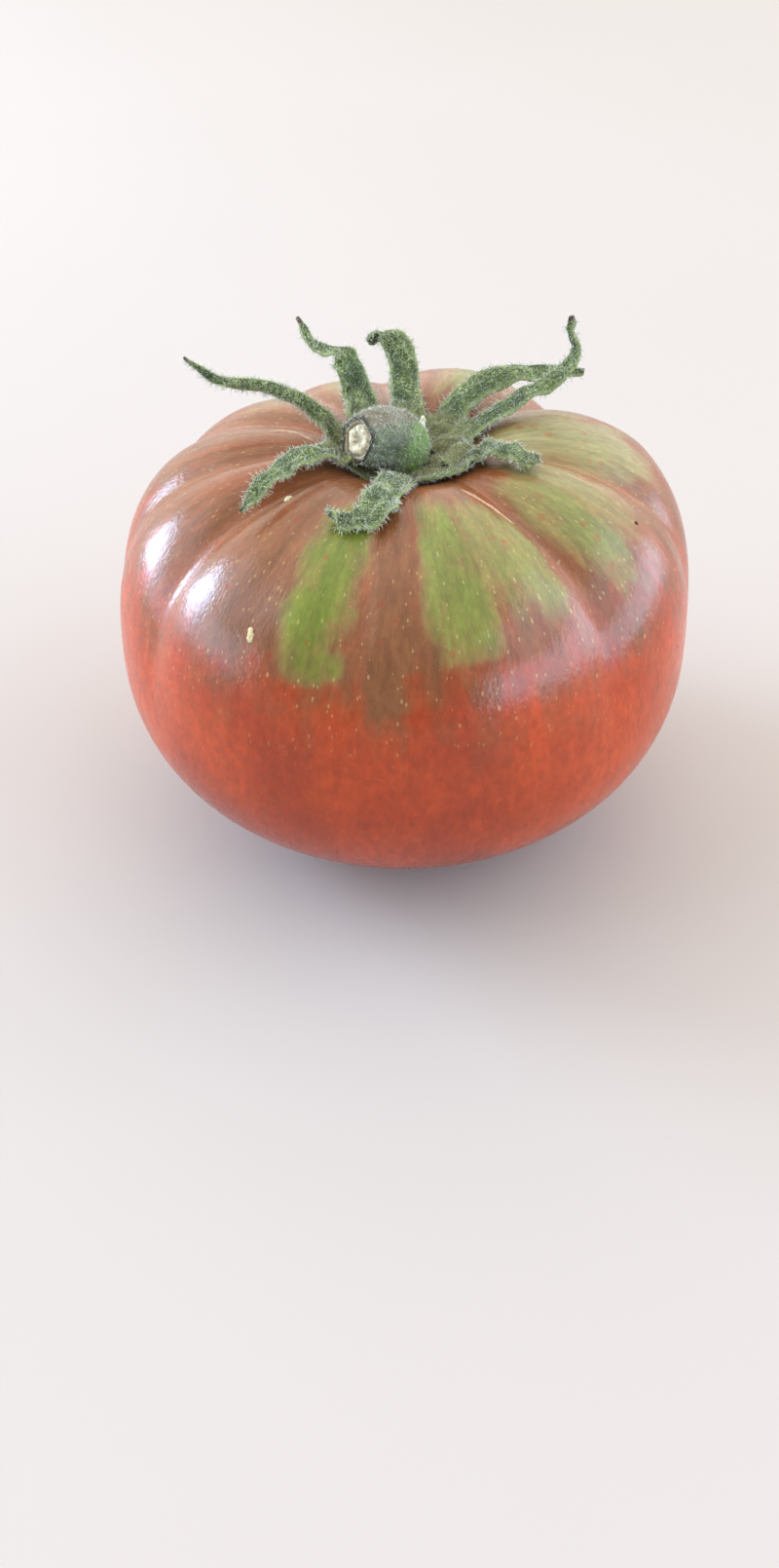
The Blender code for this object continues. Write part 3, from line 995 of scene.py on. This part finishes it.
class TOMATO_OT_fruit(bpy.types.Operator):
    """Builds the ribbed fruit with its green and dusky shoulders"""

    bl_idname = "tomato.fruit"
    bl_label = "Fruit"

    def execute(self, context):
        settings = context.scene.tomato_skin
        bm = bmesh.new()
        bmesh.ops.create_uvsphere(bm, u_segments=settings.columns, v_segments=settings.rows, radius=1)
        place = np.array([vert.co for vert in bm.verts])
        azimuth = np.degrees(np.arctan2(place[:, 0], -place[:, 1]))
        share = np.arccos(np.clip(place[:, 2], -1, 1)) / np.pi
        points = fruit_skin(azimuth, share)
        turn = np.radians(azimuth)
        wobble = ripple(points, 9.0, 5) + 0.5 * ripple(points, 3.5, 6)
        for vert, point in zip(bm.verts, points):
            vert.co = point
        piece = new_piece("fruit_skin", bm, skin_material(settings), ["fruit"])
        down = share * SIDE_LENGTH
        green = np.zeros_like(share)
        olive = np.zeros_like(share)
        for centre, half_width, start, end, strength, tone in GREEN_PATCHES:
            mask = patch_mask(azimuth, down, centre, half_width, start, end, strength, wobble)
            olive = np.where(mask > green, tone, olive)
            green = np.maximum(green, mask)
        dusk = np.zeros_like(share)
        for centre, half_width, start, end, strength in DUSKY_PATCHES:
            mask = patch_mask(azimuth, down, centre, half_width, start, end, strength, wobble)
            dusk = np.maximum(dusk, mask)
        dusk = np.maximum(dusk, 0.74 * (1 - smooth_step(36, 61, down + 3.0 * wobble)))
        _, bottom = furrow_shape(azimuth, share)
        store(piece, "green", green)
        store(piece, "green_most", smooth_step(0.0, 0.35, green))
        store(piece, "olive", olive)
        store(piece, "dusk", dusk)
        store(piece, "furrow", bottom)
        store(piece, "shoulder", 1 - smooth_step(40, 54, down + 3 * wobble))
        store(piece, "down", share)
        foot = np.hypot(points[:, 0], points[:, 1])
        store(piece, "blossom", (1 - smooth_step(1.4, 3.2, foot + 0.5 * wobble)) * (share > 0.6))
        store(piece, "grain", np.stack([35 * np.sin(turn), -35 * np.cos(turn), 0.45 * down], axis=1))
        return {"FINISHED"}


class TOMATO_OT_stem(bpy.types.Operator):
    """Builds the slanted stub of stalk with its cut end"""

    bl_idname = "tomato.stem"
    bl_label = "Stem"

    def execute(self, context):
        settings = context.scene.tomato_stem
        columns, rows = 96, 70
        shares, radii = np.array(STEM_RADII).T
        share = np.concatenate([np.linspace(0, 1, rows), np.ones(len(CUT_FACE))])
        radius = np.interp(share, shares, radii)
        rim, behind = np.array(CUT_FACE).T
        radius[rows:] = radii[-1] * rim
        sunk = np.concatenate([np.zeros(rows), behind])
        cut = np.concatenate([np.zeros(rows + 2), np.ones(len(CUT_FACE) - 2)])
        share_grid, turn = grid_places(share, np.arange(columns) * 2 * np.pi / columns)
        radius, sunk, cut = (np.repeat(values, columns) for values in (radius, sunk, cut))
        centre = curve_through(STEM_LINE, share_grid)
        ahead = curve_through(STEM_LINE, np.clip(share_grid + 0.01, 0, 1))
        behind = curve_through(STEM_LINE, np.clip(share_grid - 0.01, 0, 1))
        along = unit(ahead - behind)
        side = unit(np.cross(along, (0, 1, 0)))
        back = np.cross(along, side)
        spin = np.stack([np.cos(turn), np.sin(turn), share_grid * 1.6], axis=1)
        bumps = 0.16 * ripple(spin * 5.8, 3.5, 21) + 0.08 * ripple(spin * 5.8, 1.4, 22)
        bumps += 0.12 * np.cos(5 * turn + 1.0) * smooth_step(0.1, 0.6, share_grid)
        squeeze = 1 + 0.07 * np.cos(2 * turn + 0.6) * smooth_step(0.8, 1.0, share_grid)
        radius = radius * squeeze + bumps * np.where(cut > 0, 0.35, 1)
        sunk = sunk + np.where(cut > 0, 0.12 * ripple(spin * radius[:, None], 1.6, 23), 0)
        points = centre + side * (radius * np.cos(turn))[:, None]
        points += back * (radius * np.sin(turn))[:, None]
        points -= along * sunk[:, None]
        total = len(share)
        faces = grid_faces(total, columns, True)
        foot, top = len(points), len(points) + 1
        points = np.vstack([points, centre[0], centre[-1] - along[-1] * 0.5])
        bm = from_lists(points.tolist(), faces.tolist())
        bm.verts.ensure_lookup_table()
        last = (total - 1) * columns
        for i in range(columns):
            following = (i + 1) % columns
            bm.faces.new([bm.verts[j] for j in (foot, following, i)])
            bm.faces.new([bm.verts[j] for j in (top, last + i, last + following)])
        bmesh.ops.recalc_face_normals(bm, faces=bm.faces)
        material = stem_material(settings, context.scene.tomato_calyx)
        piece = new_piece("stem_knuckle", bm, material, ["stem"])
        from_middle = points - curve_through(STEM_LINE, np.full(len(points), 0.45))
        share_grid, cut = np.append(share_grid, (0, 1)), np.append(cut, (0, 1))
        ring = np.append(np.repeat(np.concatenate([np.full(rows, 9.0), rim]), columns), (9.0, 0.0))
        store(piece, "fresh", smooth_step(-0.8, 3.6, from_middle[:, 0] - 0.3 * from_middle[:, 2]))
        store(piece, "withered", smooth_step(2.2, 5.0, from_middle[:, 2] + 0.35 * from_middle[:, 1]))
        store(piece, "cut", cut)
        store(piece, "rim", smooth_step(0.985, 1.0, share_grid) * (ring > 0.85))
        core = (1 - smooth_step(0.12, 0.3, ring)) * 0.7
        store(piece, "pith", np.exp(-(((ring - 0.73) / 0.07) ** 2)) + core)
        return {"FINISHED"}


class TOMATO_OT_calyx_plate(bpy.types.Operator):
    """Builds the green plate that the sepals grow from"""

    bl_idname = "tomato.calyx_plate"
    bl_label = "Calyx plate"

    def execute(self, context):
        columns, rows = 192, 28
        share, turn = grid_places(np.linspace(0, 1, rows), np.arange(columns) * 360 / columns - 180)
        angles, edges = np.array(PLATE_EDGE).T
        edge = np.interp(turn, angles, edges, period=360)
        reach = 1.0 + (edge - 1.0) * share
        flat = np.stack([reach * np.sin(np.radians(turn)), reach * np.cos(np.radians(turn))], axis=1)
        height = plate_height(turn, reach) + 0.12 * ripple(flat, 2.2, 31) * smooth_step(0.3, 0.7, share)
        thick = 0.5 + 0.5 * np.sqrt(np.clip(1 - share**6, 0, 1))
        top = from_cavity(turn, reach, height).T
        bottom = from_cavity(turn, reach * 0.985, height - thick).T
        count = rows * columns
        faces = grid_faces(rows, columns, True)
        wall = np.arange(columns) + (rows - 1) * columns
        following = np.roll(wall, -1)
        rim = np.stack([wall, following, following + count, wall + count], axis=1)
        inner = np.arange(columns)
        ahead = np.roll(inner, -1)
        hole = np.stack([ahead, inner, inner + count, ahead + count], axis=1)
        faces = np.concatenate([faces, faces[:, ::-1] + count, rim, hole])
        bm = from_lists(np.concatenate([top, bottom]).tolist(), faces.tolist())
        bmesh.ops.recalc_face_normals(bm, faces=bm.faces)
        piece = new_piece("calyx_plate", bm, bpy.data.materials["hairy_leaf"], ["calyx_cup"])
        add_leaf_layers(piece, np.zeros(2 * count), np.tile(0.95 * share**8, 2))
        return {"FINISHED"}


class TOMATO_OT_sepals(bpy.types.Operator):
    """Builds the eight curled sepals"""

    bl_idname = "tomato.sepals"
    bl_label = "Sepals"

    def execute(self, context):
        settings = context.scene.tomato_calyx
        material = leaf_material(settings)
        for seed, (name, (line, widths, turns, drops)) in enumerate(SEPALS.items()):
            thickness = settings.thickness / MM
            strip = leaf_strip(line, widths, turns, drops, thickness, 40 + 10 * seed)
            points, faces, share, across = strip
            bm = from_lists(points.tolist(), faces.tolist())
            bmesh.ops.recalc_face_normals(bm, faces=bm.faces)
            piece = new_piece(f"{name}_leaf", bm, material, [name])
            add_leaf_layers(piece, share * (1.0 if name in DRY_TIPPED else 0.9), across)
        return {"FINISHED"}


class TOMATO_OT_hairs(bpy.types.Operator):
    """Grows fine hairs on the sepals, the plate and the stem"""

    bl_idname = "tomato.hairs"
    bl_label = "Hairs"

    def execute(self, context):
        settings = context.scene.tomato_calyx
        material = hair_material(settings)
        radius = settings.hair_radius / MM
        typical = settings.hair_length / MM
        rng = np.random.default_rng(7)
        sepals = [bpy.data.objects[f"{name}_leaf"] for name in SEPALS]
        roots, normals, lengths = [], [], []
        for seed, sepal in enumerate(sepals):
            place, facing, nearest = scatter(sepal, 2200, 100 + seed)
            across = np.zeros(len(sepal.data.vertices))
            sepal.data.attributes["across"].data.foreach_get("value", across)
            fringe = np.abs(across[nearest]) > 0.86
            roots.append(place)
            normals.append(facing)
            lengths.append(typical * rng.uniform(0.4, 1.0, len(place)) * np.where(fringe, 2.1, 0.8))
        roots, normals, lengths = map(np.concatenate, (roots, normals, lengths))
        add_hairs("sepal_hairs", roots, normals, lengths, radius, 0.7, material, 11)
        roots, normals, _ = scatter(bpy.data.objects["calyx_plate"], 3600, 120)
        lengths = typical * rng.uniform(0.4, 1.1, len(roots))
        add_hairs("plate_hairs", roots, normals, lengths, radius, 0.8, material, 12)
        stem = bpy.data.objects["stem_knuckle"]
        roots, normals, nearest = scatter(stem, 3600, 130)
        cut = np.zeros(len(stem.data.vertices))
        stem.data.attributes["cut"].data.foreach_get("value", cut)
        barky = cut[nearest] < 0.5
        roots, normals = roots[barky], normals[barky]
        lengths = typical * rng.uniform(0.4, 1.2, len(roots))
        add_hairs("stem_hairs", roots, normals, lengths, radius, 0.9, material, 13)
        return {"FINISHED"}


class TOMATO_OT_marks(bpy.types.Operator):
    """Adds the scars, specks and scraps on the skin and the calyx"""

    bl_idname = "tomato.marks"
    bl_label = "Marks"

    def execute(self, context):
        settings = context.scene.tomato_skin
        materials = {
            "cork": blemish_material("corky_scar", settings.scar, settings.amber),
            "pale": blemish_material("pale_scrap", settings.scrap, settings.scar),
            "dark": blemish_material("dark_speck", SPECK_BLACK, SPECK_BROWN),
            "white": blemish_material("white_crumb", CRUMB_WHITE, settings.scrap),
        }
        for seed, (name, (tone, path, radius)) in enumerate(MARKS.items()):
            azimuth, down = curve_through(path, np.linspace(0, 1, 24)).T
            points = fruit_skin(azimuth, down / SIDE_LENGTH)
            self.add_strand(name, points, radius, 0.45, materials[tone], 200 + seed, "skin")
        knots = [from_cavity(*knot) for knot in CRUMB]
        points = curve_through(knots, np.linspace(0, 1, 24))
        self.add_strand("white_crumb", points, 0.42, 1.0, materials["white"], 220, "leaf")
        return {"FINISHED"}

    def add_strand(self, name, line, radius, flatness, material, seed, slot_name):
        """A lumpy closed strand along a line of points, squashed upwards by flatness."""
        columns = 12
        rows = len(line)
        share, turn = grid_places(np.linspace(0, 1, rows), np.arange(columns) * 2 * np.pi / columns)
        centre = np.repeat(line, columns, axis=0)
        along = np.repeat(unit(np.gradient(line, axis=0)), columns, axis=0)
        upward = unit(centre - np.array([0, 0, 20.0]))
        side = unit(np.cross(along, upward))
        upper = np.cross(side, along)
        thick = radius * np.sqrt(np.clip(1 - (2 * share - 1) ** 4, 0.02, 1))
        thick *= 1 + 0.3 * ripple(np.stack([share * 6, np.cos(turn), np.sin(turn)], 1), 1.5, seed)
        across, rise = side * np.cos(turn)[:, None], flatness * upper * np.sin(turn)[:, None]
        points = centre + (across + rise) * thick[:, None]
        faces = grid_faces(rows, columns, True)
        bm = from_lists(points.tolist(), faces.tolist())
        bmesh.ops.holes_fill(bm, edges=bm.edges)
        bmesh.ops.recalc_face_normals(bm, faces=bm.faces)
        return new_piece(name, bm, material)


class TOMATO_OT_stage(bpy.types.Operator):
    """Sets up the floor, the lights and the camera"""

    bl_idname = "tomato.stage"
    bl_label = "Stage"

    def execute(self, context):
        settings = context.scene.tomato_stage
        scene = context.scene
        bm = bmesh.new()
        bmesh.ops.create_grid(bm, x_segments=1, y_segments=1, size=3.0)
        mesh = bpy.data.meshes.new("floor")
        bm.to_mesh(mesh)
        bm.free()
        mesh.materials.append(floor_material(settings))
        floor = bpy.data.objects.new("floor", mesh)
        scene.collection.objects.link(floor)
        for name, azimuth, elevation, width, height, glow in WINDOWS:
            glow *= settings.window_glow
            self.add_window(name, azimuth, elevation, width, height, glow, settings.window)
        world = bpy.data.worlds.new("soft_room")
        world.use_nodes = True
        tree = world.node_tree
        background = tree.nodes["Background"]
        background.inputs["Color"].default_value = (*settings.room, 1)
        around = add_node(tree, "ShaderNodeTexCoord").outputs["Generated"]
        ahead = add_node(tree, "ShaderNodeSeparateXYZ", {0: around}).outputs["Y"]
        strength = ramp(tree, ahead, -0.9, 0.7, 0.5, settings.room_glow)
        tree.links.new(strength, background.inputs["Strength"])
        scene.world = world
        camera = bpy.data.cameras.new("camera")
        camera.sensor_width = 36
        camera.lens = 35.78
        camera.clip_start = 0.01
        holder = bpy.data.objects.new("camera", camera)
        holder.location = (-0.0021, -0.198, 0.1655)
        holder.rotation_euler = (np.radians(49.5), 0, 0)
        scene.collection.objects.link(holder)
        scene.camera = holder
        scene.view_settings.view_transform = "Standard"
        return {"FINISHED"}

    def add_window(self, name, azimuth, elevation, width, height, glow, colour):
        """A soft rectangular light facing the fruit, of a given brightness whatever its size."""
        light = bpy.data.lights.new(name, "AREA")
        light.shape = "RECTANGLE"
        light.size, light.size_y = width, height
        light.color = tuple(colour)
        light.energy = glow * np.pi * width * height
        holder = bpy.data.objects.new(name, light)
        turn, tilt = np.radians(azimuth), np.radians(elevation)
        way = Vector((np.sin(turn) * np.cos(tilt), -np.cos(turn) * np.cos(tilt), np.sin(tilt)))
        holder.location = way + Vector((0, 0, 0.04))
        holder.rotation_euler = (-way).to_track_quat("-Z", "Y").to_euler()
        holder.visible_camera = False
        bpy.context.scene.collection.objects.link(holder)


class TOMATO_PT_panel(bpy.types.Panel):
    """Lists the tomato's pieces and their settings"""

    bl_idname = "TOMATO_PT_panel"
    bl_label = "Tomato"
    bl_space_type = "VIEW_3D"
    bl_region_type = "UI"
    bl_category = "Tomato"

    def draw(self, context):
        for operator, settings in STEPS:
            self.layout.operator(operator.bl_idname)
            if settings:
                group = getattr(context.scene, settings)
                for name in group.bl_rna.properties.keys():
                    if name not in ("rna_type", "name"):
                        self.layout.prop(group, name)


SETTINGS = {
    "tomato_skin": TomatoSkinSettings,
    "tomato_stem": TomatoStemSettings,
    "tomato_calyx": TomatoCalyxSettings,
    "tomato_stage": TomatoStageSettings,
}
STEPS = (
    (TOMATO_OT_fruit, "tomato_skin"),
    (TOMATO_OT_stem, "tomato_stem"),
    (TOMATO_OT_sepals, "tomato_calyx"),
    (TOMATO_OT_calyx_plate, None),
    (TOMATO_OT_hairs, None),
    (TOMATO_OT_marks, None),
    (TOMATO_OT_stage, "tomato_stage"),
)


def register():
    for name, group in SETTINGS.items():
        bpy.utils.register_class(group)
        setattr(bpy.types.Scene, name, PointerProperty(type=group))
    for operator, _ in STEPS:
        bpy.utils.register_class(operator)
    bpy.utils.register_class(TOMATO_PT_panel)


def unregister():
    bpy.utils.unregister_class(TOMATO_PT_panel)
    for operator, _ in reversed(STEPS):
        bpy.utils.unregister_class(operator)
    for name, group in SETTINGS.items():
        delattr(bpy.types.Scene, name)
        bpy.utils.unregister_class(group)


def main():
    register()
    for operator, _ in STEPS:
        group, name = operator.bl_idname.split(".")
        getattr(getattr(bpy.ops, group), name)()


if __name__ == "__main__":
    main()
